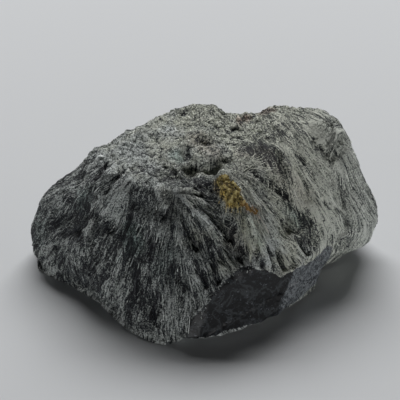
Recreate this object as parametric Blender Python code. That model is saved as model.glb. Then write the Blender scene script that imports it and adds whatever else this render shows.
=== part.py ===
"""A raw chunk of seraphinite (fibrous clinochlore): one broken stone resting on its flat underside.

The stone is one solid. A box of even cells is pulled out to the surface that its breaks leave, each break
being a plane, and is then swollen and hollowed along the ledges, gaps and cracks between its fans of fibre,
and ribbed by the fans themselves. Two clean breaks and the flat rest face are cut last, so they keep their
edges. Lengths are in millimetres and angles in degrees until the mesh is finished, which is in metres.
+X runs along the stone, +Y to its back, +Z up. The origin is under the middle of its box, on the rest face.
"""
import math
import bmesh
import bpy
import numpy as np
from mathutils import Vector, noise

STONE = "seraphinite"
MM = 0.001
LENGTH = 114.0
DEPTH = 69.0
HEIGHT = 53.0
CELL = 2.65  # side of the cells of the box that becomes the surface
HEART = np.array([0.6, -3.6, 24.0])  # the point that every break is measured from
EDGE_SHARPNESS = 40.0  # a higher power leaves crisper edges between the breaks
SNAP = 0.5  # a corner nearer than this to a clean break is moved onto it

# Each break: the compass heading and the tilt of the way that it faces, and its distance from the heart.
BREAKS = {
    "rest": (0, -90, 24.0),
    "top": (262, 75, 19.9),
    "top_left": (200, 63, 26.5),
    "left_shoulder": (195, 45, 32.7),
    "left_flank": (225, 20, 25.3),
    "centre_left": (238, 23, 20.3),
    "centre_front": (268, 31, 16.0),
    "front_right": (303, 43, 22.0),
    "right_fan": (308, 33, 21.3),
    "right_front": (322, 25, 31.0),
    "right_low": (331, -12, 43.0),
    "right_end": (352, 24, 46.0),
    "right_shoulder": (20, 55, 47.6),
    "right_under": (350, -12, 54.3),
    "left_end": (188, 8, 51.4),
    "left_end_top": (188, 35, 40.6),
    "back": (90, 12, 34.3),
    "back_left": (132, 14, 47.0),
    "back_left_top": (135, 45, 37.4),
    "back_right": (50, 14, 50.3),
    "under_right": (340, -60, 37.0),
    "under_front": (303, -60, 31.2),
    "front_foot": (262, -45, 39.4),
    "left_foot": (225, -45, 40.0),
    "under_left": (190, -55, 46.0),
    "under_back": (90, -45, 38.0),
}

# The breaks that are flat, with an edge all round: the dark fracture low at the front, and its right half.
# They stop at the upright plane through the heart that faces this way, short of the stone's right end.
CLEAN_BREAKS = {
    "fracture": (293, 5, 24.3),
    "fracture_side": (321, -6, 31.2),
}
CLEAN_BREAKS_STOP = (93, 0)

# Each swelling: the ends of the line it follows, its reach, and its height. A hollow's height is negative.
SWELLINGS = {
    "saddle": ((12, 30, 52), (13, 14, 50), 12.0, -3.0),
    "right_hump": ((22, 26, 52), (32, 24, 52), 11.0, -1.8),
    "right_notch": ((45, -5, 2), (46, -1, 12), 11.0, -5.0),
    "right_under_hollow": ((41.0, -2.0, 3.0), (48.0, 6.0, 6.0), 8.0, -2.2),
    "right_corner": ((45.0, 15.0, 44.0), (47.5, 12.0, 37.0), 8.0, 2.0),
    "left_step": ((-43, 19, 37), (-42, 7, 36), 7.0, -2.5),
    "gap_beside_centre_fan": ((1.4, -7.7, 44.0), (7.7, -17.8, 31.9), 5.0, -2.4),
    "gap_low": ((7.7, -17.8, 31.9), (11.4, -21.3, 26.2), 5.0, -2.4),
    "gap_beside_right_fan": ((20.6, -6.6, 40.3), (28.4, -10.1, 28.9), 4.5, -1.7),
    "gap_right_low": ((28.4, -10.1, 28.9), (33.2, -11.9, 22.2), 5.5, -2.3),
    "groove_right_top": ((34.1, 10.2, 47.9), (39.9, 9.1, 41.2), 3.5, -1.5),
    "crease_at_end": ((46.2, 10.9, 38.2), (48.4, 3.6, 14.6), 3.5, -0.9),
    "left_hollow": ((-44.0, 2.0, 22.5), (-34.5, -4.5, 27.0), 6.5, -2.4),
    "long_rib": ((-29.7, 0.9, 40.0), (-34.8, -5.6, 24.9), 4.0, 1.6),
    "long_rib_low": ((-34.8, -5.6, 24.9), (-41.7, -7.3, 8.6), 4.0, 1.3),
    "lobe_rib": ((-40.3, 11.5, 32.8), (-43.5, 4.3, 27.4), 3.5, 1.0),
    "plate": ((-21.4, -5.8, 42.3), (-28.6, -7.2, 31.7), 4.5, 1.6),
    "under_plate": ((-27.5, -9.6, 29.0), (-22.5, -11.5, 31.0), 4.5, -1.8),
    "lip": ((-19.8, -8.5, 40.5), (-8.2, -10.6, 42.3), 4.0, 1.2),
    "under_lip": ((-18.5, -11.0, 38.2), (-11.5, -13.5, 37.2), 4.5, -1.6),
    "centre_rib": ((-8.2, -10.6, 42.3), (5.3, -19.3, 29.2), 3.5, 1.4),
    "centre_rib_low": ((-3.0, -21.5, 25.5), (3.2, -27.6, 15.5), 4.0, 1.2),
    "centre_gap": ((-5.0, -14.5, 37.0), (3.0, -21.5, 26.0), 3.5, -1.5),
    "fracture_lip": ((-3.7, -30.8, 9.5), (11.4, -23.5, 22.6), 6.5, 1.3),
    "left_foot_hollow": ((-42.0, -8.0, 4.0), (-29.0, -20.5, 3.0), 9.0, -3.8),
    "front_foot_hollow": ((-9.0, -34.0, 1.0), (3.0, -34.0, 1.0), 8.0, -1.6),
    "foot_gap": ((-15.9, -24.5, 14.0), (-13.5, -28.5, 6.0), 4.0, -1.4),
    "top_crack_rear": ((-4.7, 4.3, 46.9), (-3.7, -2.0, 45.3), 3.2, -2.2),
    "top_crack": ((-3.7, -2.4, 45.3), (3.6, -1.5, 45.7), 3.4, -3.0),
    "top_crack_end": ((3.6, -1.5, 45.7), (8.5, 0.2, 46.3), 3.2, -2.4),
    "back_crack": ((11.8, 15.0, 47.4), (17.5, 18.0, 49.2), 3.4, -2.2),
    "top_pit": ((-1.6, 8.6, 48.2), (1.6, 8.5, 48.2), 3.2, -1.6),
    "back_hollow": ((-14, 34, 18), (8, 33, 34), 15.0, -3.4),
    "back_step": ((14, 36, 6), (18, 32, 42), 7.0, 1.6),
    "back_left_rib": ((-34, 26, 36), (-42, 28, 8), 7.0, 1.8),
    "back_right_hollow": ((42, 28, 12), (44, 27, 30), 10.0, -2.4),
    "right_pit": ((22.0, 9.0, 49.0), (24.0, 9.4, 49.1), 3.2, -1.8),
}

# The thin rim that stands proud along the foot of the clean breaks, laid on after they are cut.
RIM = {
    "rim_front": ((-2.0, -33.0, 3.0), (19.0, -26.5, 3.0), 3.4, 1.0),
    "rim_side": ((24.0, -21.0, 3.5), (34.0, -10.5, 4.0), 3.4, 1.0),
}

# Each fan of fibres: the point that its fibres leave, the way that its face looks, the line that it spreads
# along, and the share of the rib height that it shows.
FANS = {
    "lobe": ((-17.6, -1.5, 74.3), (222, 20), (-41, 8, 33), (-45, -2, 8), 1.0),
    "centre_left": ((-12.0, -5.9, 62.0), (238, 23), (-21, -9, 38), (-25, -20, 11), 1.0),
    "centre": ((-7.6, -14.7, 42.6), (268, 31), (-4.5, -13.5, 38.6), (1, -26.5, 18), 1.0),
    "right": ((9.8, -9.9, 49.2), (303, 36), (13, -7, 42), (24, -19, 21), 1.0),
    "plume": ((18.8, 6.6, 63.1), (308, 33), (28, 3, 45), (38, -7, 23), 1.0),
    "end": ((44.8, 8.6, 51.8), (330, 15), (48, 11, 36), (52, 4, 13), 1.0),
    "back_right": ((34.0, 20.0, 60.0), (50, 20), (40, 24, 40), (48, 20, 8), 1.0),
    "back": ((2.0, 26.0, 62.0), (90, 14), (5, 31, 42), (5, 36, 8), 1.0),
    "back_left": ((-22.0, 16.0, 58.0), (128, 25), (-30, 26, 36), (-36, 30, 8), 1.0),
    "top": ((2.0, 40.0, 58.0), (262, 75), (-22, 8, 46), (30, 14, 50), 0.35),
    "under": ((0.0, 30.0, 0.0), (270, -90), (-20, -5, 0), (25, 0, 0), 0.0),
}
FAN_REACH = 32.0  # the distance from a fan's point at which its ribs have their stated width
RIB_WIDTH = 5.4
RIB_LENGTH = 26.0
RIB_HEIGHT = 0.95
LUMP_WIDTH = 9.0
LUMP_HEIGHT = 1.1


def heading(compass, tilt):
    """The unit vector of a compass heading (0 is +X, 90 is +Y) tilted up from the level."""
    turn = math.radians(compass)
    rise = math.radians(tilt)
    return np.array([math.cos(rise) * math.cos(turn), math.cos(rise) * math.sin(turn), math.sin(rise)])


def distance_out(directions):
    """How far the surface lies from the heart along each unit direction."""
    total = np.zeros(len(directions))
    for compass, tilt, distance in BREAKS.values():
        facing = np.clip(directions @ heading(compass, tilt), 0.0, None) / distance
        total += facing**EDGE_SHARPNESS
    return total ** (-1.0 / EDGE_SHARPNESS)


def away_from(places, start, end):
    """The distance of each place from the line between two points."""
    start = np.array(start, float)
    line = np.array(end, float) - start
    share = np.clip((places - start) @ line / (line @ line), 0.0, 1.0)
    return np.linalg.norm(places - start - share[:, None] * line, axis=1)


def swelling(places, swellings):
    """How far each place rises for a set of swellings, each highest on its line and nothing at its reach."""
    rise = np.zeros(len(places))
    for start, end, reach, height in swellings.values():
        near = np.clip(1.0 - (away_from(places, start, end) / reach) ** 2, 0.0, None)
        rise += height * near**2
    return rise


def ribs(places):
    """The long low ribs of the fans: noise stretched along the fibres of the fan that a place belongs to."""
    nearest = np.argmin([away_from(places, start, end) for _, _, start, end, _ in FANS.values()], axis=0)
    rise = np.zeros(len(places))
    for number, (point, facing, _, _, share) in enumerate(FANS.values()):
        mine = np.flatnonzero(nearest == number)
        across = Vector(heading(*facing)).cross(Vector((0.0, 0.1, 1.0))).normalized()
        down = np.array(Vector(heading(*facing)).cross(across))
        spread = places[mine] - np.array(point)
        angle = np.arctan2(spread @ np.array(across), np.abs(spread @ down) + 4.0)
        along = np.linalg.norm(spread, axis=1)
        for place, turn, run in zip(mine, angle, along):
            spot = Vector((turn * FAN_REACH / RIB_WIDTH, run / RIB_LENGTH, 7.0 * number))
            rise[place] = RIB_HEIGHT * 1.6 * share * noise.noise(spot)
    return rise


def lumps(places):
    """Rounded unevenness all over the broken faces."""
    return np.array([LUMP_HEIGHT * noise.noise(Vector(place) / LUMP_WIDTH) for place in places])


def gridded_box():
    """A bmesh box of the stone's proportions, each side cut into cells of about CELL."""
    box = bmesh.new()
    bmesh.ops.create_cube(box, size=1.0)
    for axis, side in enumerate((LENGTH, DEPTH, HEIGHT)):
        along = [e for e in box.edges if abs((e.verts[0].co - e.verts[1].co)[axis]) > 1e-4]
        bmesh.ops.subdivide_edges(box, edges=along, cuts=round(side / CELL) - 1)
    bmesh.ops.scale(box, vec=(LENGTH, DEPTH, HEIGHT), verts=box.verts)
    return box


def places_of(stone):
    return np.array([v.co for v in stone.verts])


def put(stone, places):
    for vert, place in zip(stone.verts, places):
        vert.co = Vector(place)
    stone.normal_update()


def raise_along_normals(stone, rise):
    normals = np.array([v.normal for v in stone.verts])
    put(stone, places_of(stone) + normals * rise[:, None])


def break_cleanly(stone, compass, tilt, distance):
    """Draw a flat break's edge round the stone, and pull everything outside it back onto the flat."""
    normal = heading(compass, tilt)
    stop = heading(*CLEAN_BREAKS_STOP)
    faces = [f for f in stone.faces if (f.calc_center_median() - Vector(HEART)).dot(stop) < 0.0]
    edges = {e for f in faces for e in f.edges}
    verts = {v for f in faces for v in f.verts}
    bmesh.ops.bisect_plane(stone, geom=[*verts, *edges, *faces], dist=SNAP,
                           plane_co=Vector(HEART + normal * distance), plane_no=Vector(normal))
    out = places_of(stone) - HEART
    beyond = out @ normal / distance
    moved = (beyond > 1.0 - SNAP / distance) & (out @ stop < 0.0)
    put(stone, HEART + out / np.where(moved, beyond, 1.0)[:, None])


def flatten_rest_face(stone):
    """Everything below the ground is pressed up onto it, inside an edge drawn at its level."""
    everything = stone.verts[:] + stone.edges[:] + stone.faces[:]
    bmesh.ops.bisect_plane(stone, geom=everything, dist=0.3, plane_co=(0, 0, 0), plane_no=(0, 0, -1))
    places = places_of(stone)
    places[places[:, 2] < 0.3, 2] = 0.0
    put(stone, places)
    flat = [v for v in stone.verts if v.co.z == 0.0]
    inside = [e for e in stone.edges if e.verts[0].co.z == 0.0 and e.verts[1].co.z == 0.0]
    bmesh.ops.dissolve_limit(stone, angle_limit=math.radians(0.5), verts=flat, edges=inside)


def build_stone():
    stone = gridded_box()
    places = places_of(stone)
    directions = places / np.linalg.norm(places, axis=1)[:, None]
    put(stone, HEART + directions * distance_out(directions)[:, None])
    bmesh.ops.recalc_face_normals(stone, faces=stone.faces)

    places = places_of(stone)
    raise_along_normals(stone, swelling(places, SWELLINGS) + ribs(places) + lumps(places))
    for clean_break in CLEAN_BREAKS.values():
        break_cleanly(stone, *clean_break)
    raise_along_normals(stone, swelling(places_of(stone), RIM))
    flatten_rest_face(stone)

    places = places_of(stone)
    middle = (places.min(axis=0) + places.max(axis=0)) / 2
    put(stone, (places - [middle[0], middle[1], 0.0]) * MM)
    bmesh.ops.remove_doubles(stone, verts=stone.verts, dist=0.2 * MM)
    bmesh.ops.triangulate(stone, faces=stone.faces)
    bmesh.ops.recalc_face_normals(stone, faces=stone.faces)
    mesh = bpy.data.meshes.new(STONE)
    stone.to_mesh(mesh)
    stone.free()
    mesh.materials.append(stone_material())
    return bpy.data.objects.new(STONE, mesh)


def stone_material():
    """Dark grey-green clinochlore, dull where it is broken."""
    material = bpy.data.materials.new("clinochlore")
    material.use_nodes = True
    surface = material.node_tree.nodes["Principled BSDF"]
    surface.inputs["Base Color"].default_value = (0.085, 0.092, 0.082, 1.0)
    surface.inputs["Roughness"].default_value = 0.6
    return material


def main():
    for old in list(bpy.data.objects):
        bpy.data.objects.remove(old)
    collection = bpy.data.collections.new("raw_seraphinite")
    bpy.context.scene.collection.children.link(collection)
    collection.objects.link(build_stone())


main()
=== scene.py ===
# %% [markdown]
# # A raw chunk of seraphinite
#
# Seraphinite is clinochlore, a dark green mica-like mineral, that has grown as fans of silvery fibre. A raw
# chunk is simply broken out of the rock: its sides show the fans end to end, its top is crumbled, and one
# break low at the front went clean across the fibres and is smooth and almost black.
#
# The solid model holds the breaks, ledges and gaps. This lesson lays a finer skin on that solid, splits the
# skin along the fibres, and covers it with the splinters and grains that a hand would feel.

# %% Load the solid model
import math

import bmesh
import bpy
import numpy as np
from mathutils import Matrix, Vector, noise
from mathutils.bvhtree import BVHTree


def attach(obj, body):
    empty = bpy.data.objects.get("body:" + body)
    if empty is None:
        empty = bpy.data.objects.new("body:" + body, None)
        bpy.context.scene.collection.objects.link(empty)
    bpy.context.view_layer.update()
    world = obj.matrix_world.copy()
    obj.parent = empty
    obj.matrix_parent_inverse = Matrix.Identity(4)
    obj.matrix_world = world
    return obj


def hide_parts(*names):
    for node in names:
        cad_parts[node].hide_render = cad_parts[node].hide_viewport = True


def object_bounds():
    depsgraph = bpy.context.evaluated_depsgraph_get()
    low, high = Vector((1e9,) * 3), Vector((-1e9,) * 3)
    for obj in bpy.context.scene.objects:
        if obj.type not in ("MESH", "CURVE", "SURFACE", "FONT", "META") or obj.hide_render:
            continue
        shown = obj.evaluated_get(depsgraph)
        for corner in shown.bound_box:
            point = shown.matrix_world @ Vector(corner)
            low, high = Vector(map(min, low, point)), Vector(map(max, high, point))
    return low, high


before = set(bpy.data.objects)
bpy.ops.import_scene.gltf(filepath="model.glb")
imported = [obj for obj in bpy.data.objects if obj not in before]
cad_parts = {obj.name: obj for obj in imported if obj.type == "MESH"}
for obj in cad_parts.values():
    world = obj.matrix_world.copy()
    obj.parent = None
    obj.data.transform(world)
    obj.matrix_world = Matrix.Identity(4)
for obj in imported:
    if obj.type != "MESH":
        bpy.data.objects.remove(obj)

MM = 0.001
cad_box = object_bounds()
rough_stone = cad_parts["seraphinite"]
print("stone box in mm:", [[round(v / MM, 1) for v in corner] for corner in cad_box])

# %% [markdown]
# ## Where the fibres run
#
# The fibres of a fan spread from one point, at the top of the stone or out beyond it. A place on the stone
# belongs to the fan whose middle line is nearest. Two numbers then say where it lies in that fan: how far
# round the fan it is, and how far along the fibre. Ribs, streaks and splinters all follow these two numbers,
# so they always agree.

# %% The fans
# name: the point the fibres leave in mm, the way the fan's face looks (compass, tilt), the ends of the fan's
# middle line, how light its fibres are, and the share of the full relief that it shows
FANS = {
    "lobe": ((-18.5, -2.7, 74.3), (222, 20), (-41.4, 7.4, 33), (-45.4, -3.6, 8), 0.50, 0.8),
    "centre_left": ((-12.9, -7.1, 62.0), (238, 23), (-21.4, -10.6, 38), (-26.4, -21.6, 10), 0.51, 0.8),
    "centre": ((-8.5, -13.9, 43.4), (268, 31), (-5.2, -14.8, 38.4), (0.2, -28.1, 17.5), 0.62, 1.0),
    "right": ((8.9, -9.1, 49.2), (303, 36), (12.4, -9.1, 42), (23.1, -19.6, 21), 0.92, 0.9),
    "plume": ((17.9, 5.4, 63.1), (308, 33), (27.1, 1.8, 45), (37.1, -6.6, 23), 1.0, 0.4),
    "end": ((43.9, 7.4, 51.8), (330, 15), (48.1, 9.8, 36), (51.1, 1.9, 13), 0.92, 0.3),
    "back_right": ((33.6, 19.4, 60), (50, 20), (39.6, 23.4, 40), (47.6, 19.4, 8), 0.60, 0.7),
    "back": ((1.6, 25.4, 62), (90, 14), (4.6, 30.4, 42), (4.6, 35.4, 8), 0.55, 0.8),
    "back_left": ((-22.4, 15.4, 58), (128, 25), (-30.4, 25.4, 36), (-36.4, 29.4, 8), 0.52, 0.8),
    "top": ((1.6, 39.4, 58), (262, 75), (-22.4, 7.4, 46), (29.6, 13.4, 50), 0.86, 0.6),
    "under": ((-0.4, 29.4, 0), (270, -90), (-20.4, -5.6, 0), (24.6, -0.6, 0), 0.45, 0.3),
}
FAN_REACH = 32.0  # a turn round a fan is measured in mm, as it would be this far from the fan's point
POINT_SIZE = 4.0  # mm: keeps the fibres from turning ever faster close to a fan's point
BORDER_WANDER = 2.2  # mm that the border between two fans wanders to each side
BORDER_BLEND = 1.6  # mm over which the look of one fan fades into the next
NEARLY_UP = Vector((0.0, 0.1, 1.0))  # leans a little, so that no fan faces straight along it


def heading(compass, tilt):
    """The unit vector of a compass heading (0 is +X, 90 is +Y) tilted up from the level."""
    turn, rise = math.radians(compass), math.radians(tilt)
    return np.array([math.cos(rise) * math.cos(turn), math.cos(rise) * math.sin(turn), math.sin(rise)])


def away_from(places, start, end):
    """Distance of each place from the line between two points."""
    start = np.array(start, float)
    line = np.array(end, float) - start
    share = np.clip((places - start) @ line / (line @ line), 0.0, 1.0)
    return np.linalg.norm(places - start - share[:, None] * line, axis=1)


def noise_at(places, width, seed=0.0):
    """Smooth noise of about -1 to 1, with lumps about as wide as width."""
    shift = Vector((seed, 3.7 * seed, 1.3 * seed))
    return np.array([noise.noise(Vector(p) + shift) for p in places / width])


def fibre_run(places):
    """For each place: its fan, its place across and along the fibres in mm, the way its fibre points, and the
    lightness and relief that its fan has."""
    wander = BORDER_WANDER * noise_at(places, 7.0, 11.0)
    lines = [away_from(places, start, end) for _, _, start, end, _, _ in FANS.values()]
    lines = np.array([d + wander * (-1) ** i for i, d in enumerate(lines)])
    fan = lines.argmin(axis=0)
    run = np.zeros((len(places), 3))
    way = np.zeros((len(places), 3))
    for i, (point, facing, _, _, _, relief) in enumerate(FANS.values()):
        mine = fan == i
        across = np.array(Vector(heading(*facing)).cross(NEARLY_UP).normalized())
        down = np.cross(heading(*facing), across)
        spread = places[mine] - np.array(point, float)
        turn = np.arctan2(spread @ across, np.abs(spread @ down) + POINT_SIZE)
        along = np.linalg.norm(spread, axis=1)
        stretch = 0.4 + 0.6 * relief  # calm fans have longer fibres
        apart = np.full(mine.sum(), 37.0 * i)  # so that no two fans share their noise
        run[mine] = np.stack([turn * FAN_REACH, along * stretch, apart], axis=1)
        way[mine] = spread / along[:, None]
    weight = np.exp(-(lines - lines.min(axis=0)) / BORDER_BLEND)
    weight /= weight.sum(axis=0)
    lightness, relief = np.array([f[4:] for f in FANS.values()]).T @ weight
    return fan, run, way, lightness, relief


fan_names = list(FANS)
print("fans:", fan_names)

# %% [markdown]
# ## Light and dark zones
#
# The stone isn't one colour, and some light and shade is painted into it as well. The gaps between the
# fans are almost black, darkened with painted shade; the ribs and ledges that stand proud are silvery, and
# the right side is paler and warmer than the left. Each zone is a line with a reach, and it makes the stone
# near it lighter or darker. A mark does the same along a thinner line, and raises it as a rib or sinks it as
# a gap, which it darkens with painted shade.

# %% The zones
# (start, end, reach in mm, change in lightness)
TONE_AND_PAINTED_SHADING_ZONES = [
    ((-54.6, 9, 3), (-52, 3, 3), 4.5, 0.3),  # pale corner of the left foot
    ((-52.5, 6.1, 17.8), (-47.3, 6.9, 27.7), 5, 0.16),  # rim of the left lobe
    ((-34.7, 10.9, 39.1), (-31, 13.6, 40.7), 5, 0.18),
    ((-28.9, 9.9, 42), (-31, 0.6, 40.7), 2.6, -0.24),
    ((-45.4, 2.4, 20.5), (-36, -5.6, 25.5), 6.5, -0.36),  # painted shade in the hollow of the left lobe
    ((-42.9, -5.9, 15.6), (-41.6, -9, 10.1), 4, -0.12),
    ((-30.4, -1.6, 41), (-32.1, -5.9, 34.7), 3, 0.2),  # long rib beside it
    ((-32.1, -5.9, 34.7), (-36.1, -7.9, 25.5), 3, 0.22),
    ((-36.1, -7.9, 25.5), (-40.2, -10, 14), 3, 0.1),
    ((-39.5, -4.9, 21.8), (-38, -9.8, 19.3), 4.5, -0.24),
    ((-45.5, 6.2, 29.4), (-40.9, 2.5, 29.6), 4.5, 0.18),
    ((-37, 18.4, 33.1), (-33.1, 21.4, 36.1), 5, 0.28),
    ((-23.2, -8.6, 43.3), (-28.4, -9.2, 31.5), 4.2, 0.32),  # pale plate
    ((-30.4, -8.6, 27.6), (-24.4, -12.1, 28.4), 3, 0.02),
    ((-28.5, -14.1, 21.7), (-27.2, -18.4, 15.4), 3.5, -0.12),
    ((-20.4, -10.6, 41.7), (-8.6, -13.2, 43), 3, 0.22),  # lip of the ridge
    ((-5.9, -10, 42.8), (-1.4, -7.5, 41.8), 3, -0.22),
    ((-19.4, -12.6, 37), (-15.4, -13.6, 37), 4, -0.18),
    ((-13.5, -13.2, 36.9), (-10.5, -18.1, 31.5), 5, 0.12),
    ((-19.9, -20.4, 20.6), (-18.6, -21.8, 16.4), 3.5, -0.24),
    ((-5.6, -25.8, 20.5), (-4.5, -26.8, 18.3), 3.5, -0.26),
    ((-24.4, -16.6, 20), (-17.4, -24.6, 11), 8, -0.1),  # dark foot of the left side
    ((-17.9, -27.8, 7.2), (-16.1, -29.7, 4.8), 4, 0.14),
    ((-3.8, -29.5, 15.1), (-2, -31, 13.2), 3, 0.22),
    ((0.7, -6.6, 42), (7.1, -15.1, 30), 4.2, -0.32),  # painted shade in the gap between centre and right fans
    ((7.1, -15.1, 30), (10.6, -20.1, 25), 4.2, -0.3),
    ((10.7, -17.7, 32.7), (12.6, -20.4, 27.2), 3, -0.26),
    ((5.2, -11.3, 42.2), (8.2, -15.6, 37.2), 2.8, -0.28),
    ((15.2, -12.1, 39), (24.5, -15.7, 26.7), 5, 0.1),
    ((24.5, -15.7, 26.7), (26.6, -18.3, 20.6), 5, 0.14),
    ((17.4, -5.1, 44.6), (25.7, -7.6, 31.4), 2.6, -0.14),  # painted shade in the gap right of the right fan
    ((25.7, -7.6, 31.4), (28.9, -8.8, 26.2), 3.4, -0.08),
    ((28.9, -8.8, 26.2), (33.6, -11.9, 18.5), 3.6, -0.26),
    ((32.4, -7.2, 28.4), (35.8, -9.7, 22.3), 4.6, -0.46),
    ((24.7, 1.2, 46.6), (29.1, -2.4, 37.6), 3, 0.2),  # bright streak of the plume
    ((35.1, -4.9, 29.5), (39, -5.5, 24.6), 4, 0.14),
    ((35.5, 12, 48.5), (42, 10.9, 43.9), 4.8, 0.34),  # pale shoulder: painted light where its shape shades it
    ((42, 10.9, 43.9), (44, 9.1, 39.6), 4.8, 0.34),
    ((40.8, 9.8, 43.6), (42.4, 8.6, 39.6), 4, 0.32),
    ((29.5, 5, 46), (36.4, -2.1, 31.9), 6, 0.07),  # the plume is paler than the right end
    ((52, 15.9, 26.5), (53.5, 12.8, 22.8), 4, 0.12),
    ((14.1, 6.6, 46.8), (17.6, 3, 47.3), 4.5, -0.34),  # dark patch behind the right fan
    ((14.2, 3.8, 47), (18.8, -0.9, 46.2), 4, -0.3),
    ((17.6, 3, 47.3), (23.7, -1.5, 44.4), 5, -0.46),
    # painted light on the top, lifting a notch that its shape shades
    ((-1.4, -1.7, 42.6), (3.5, -0.9, 42.5), 3, 0.4),
    ((-3.9, 4.6, 46.2), (3.2, 4.5, 47), 5, -0.14),
    ((-26, 10, 43.5), (-4, 13, 48.5), 16, 0.07),
    # pale rims: partly the stone's own pale edge, partly painted light on low walls the lamps hardly reach
    ((-1.4, -34.1, 2.6), (20.1, -27.1, 2.8), 2.6, 0.34),  # pale rim along the foot of the clean break
    ((20.1, -27.1, 2.8), (33.6, -11.6, 3.6), 2.6, 0.34),
    ((-43.4, -3.8, 1), (-26.9, -22.5, 1), 2.2, 0.36),  # and along the left foot
    ((-26.9, -22.5, 1), (-11.8, -33.5, 1), 2.2, 0.36),
]
print("zones:", len(TONE_AND_PAINTED_SHADING_ZONES))

# %% Marks of the centre fan
# single ribs and gaps: (start, end, half width in mm, rise in mm, change in lightness)
# the darkening of a sunk gap is painted shade
CENTRE_FAN_MARKS = [
    ((-8.9, -13, 43.4), (-1.4, -10.6, 40.6), 0.6, 0.5, 0.2),
    ((-7.4, -13.3, 41.8), (1.3, -17.9, 33.6), 0.6, 0.5, 0.22),
    ((-8.6, -13.9, 39.2), (-3.8, -15.5, 33.7), 0.7, 0.5, 0.24),
    ((-8, -14, 41.1), (-3.8, -17.4, 29.9), 0.7, -0.7, -0.3),
    ((-5, -14.9, 36.7), (-0.6, -17.6, 33), 0.6, -0.6, -0.3),
    ((-8.6, -12.6, 43.5), (-1.7, -10.4, 40.9), 0.8, 0.9, 0.46),  # bright blades
    ((-6.2, -13.1, 41.7), (0.1, -12.4, 38.5), 0.8, 0.8, 0.44),
    ((-7.4, -13.6, 41.6), (-2.6, -15.8, 37.2), 0.8, 0.9, 0.4),
    ((-2.6, -15.8, 37.2), (1.6, -18, 33.3), 0.7, 0.7, 0.38),
    ((1.6, -18, 33.3), (8.3, -19.8, 25.6), 0.8, 0.5, 0.24),
    ((-1.4, -16.1, 36.4), (8, -18.6, 26.6), 0.8, 0.6, 0.25),
    ((1.6, -13.5, 35.7), (5, -15.1, 30.8), 0.8, 0.8, 0.3),
    ((-2.6, -26.1, 20.9), (0.7, -29.8, 18.1), 0.9, 0.8, 0.34),
    ((-8, -18.3, 31.6), (-4.4, -24.4, 24.9), 0.9, 0.6, 0.26),
    ((5.2, -24.5, 23.1), (7.3, -26.7, 21), 1.3, 0.5, 0.24),
    ((3.4, -24.4, 24.1), (5.2, -24.5, 23.1), 1, 0.5, 0.2),
    ((-0.5, -18.4, 31.7), (1.3, -20.2, 27.8), 0.9, -0.9, -0.46),  # black gaps, darkened with painted shade
    ((-4.4, -17.4, 30.6), (-2.6, -19.8, 27.5), 1.1, -1, -0.45),
    ((-2.6, -24.1, 24.7), (0.1, -28.4, 18.9), 1, -1.2, -0.5),
    ((2.2, -24.1, 23.5), (4.6, -27.9, 20.4), 1, -1.2, -0.5),
    ((-6.4, -14.6, 38), (1, -19.6, 29.5), 0.9, -0.8, -0.34),
    ((1, -19.6, 29.5), (2.6, -23.6, 24), 1, -0.8, -0.44),
    ((-3, -12, 38.5), (3, -14.2, 33), 0.9, -0.8, -0.34),
    ((-11.1, -23.6, 23.5), (-6.2, -27, 18.6), 2, -0.5, -0.26),
]
FAN_GAP_MARKS = [  # in the gap between the centre fan and the right one; painted shade darkens it
    ((5.3, -14.5, 31.1), (8.9, -17.8, 27.5), 2, 0.5, -0.1),
    ((8.9, -17.8, 27.5), (12.2, -20.2, 25.5), 1.8, 0.4, -0.1),
    ((7.7, -16.9, 27.6), (11.3, -19.2, 26.3), 1, -0.8, -0.36),
]
print("marks of the centre fan and its gap:", len(CENTRE_FAN_MARKS), len(FAN_GAP_MARKS))

# %% Marks of the right side
RIGHT_FAN_MARKS = [
    ((12.7, -17.8, 35.4), (15.8, -20.9, 30.2), 1.1, 0.8, 0.24),
    ((13.6, -17.4, 35.5), (14.9, -22.4, 27.2), 1, 0.5, 0.2),
    ((16.8, -12.7, 37.3), (21.1, -14.2, 31.7), 1, 0.5, 0.18),
    ((18.9, -15.2, 32.4), (25.1, -15.8, 26.1), 1, 0.6, 0.2),
    ((19.8, -16.7, 29.3), (26.7, -18.5, 20.4), 1, 0.6, 0.22),
    ((25.1, -15.8, 26.1), (29.6, -17, 19.3), 1, 0.9, 0.3),
    ((27, -10.5, 25.1), (33.7, -11.7, 17.6), 1, 0.8, 0.24),
    ((10.6, -16.6, 36.3), (13.7, -20.9, 29.5), 1, 0.7, 0.16),
    ((20.6, -9.1, 36.3), (30.1, -13.5, 20.5), 1.1, 0.5, 0.22),
    ((17.4, -12.9, 36.7), (23.3, -14, 29.6), 1, 0.6, 0.18),
    ((24.5, -21.3, 18.4), (26.3, -20.6, 18.6), 0.8, 0.4, 0.4),  # white tips
    ((29, -17.4, 19.6), (30.2, -16.9, 19), 0.8, 0.4, 0.4),
    ((22.7, -14.2, 30.2), (26.7, -16.5, 23.5), 0.9, -1, -0.34),  # black gaps, darkened with painted shade
    ((22.6, -18.5, 24.3), (24.5, -20.8, 19.5), 1.1, -1.3, -0.46),
    ((28.5, -11.5, 24), (31.7, -12.2, 19.6), 1.2, -1.3, -0.46),
    ((15.5, -22.6, 27.3), (18, -23.8, 22.1), 1.1, -1.3, -0.46),
    ((19.8, -19.6, 27), (21.4, -22.2, 20.8), 0.9, -1, -0.34),
]
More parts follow.
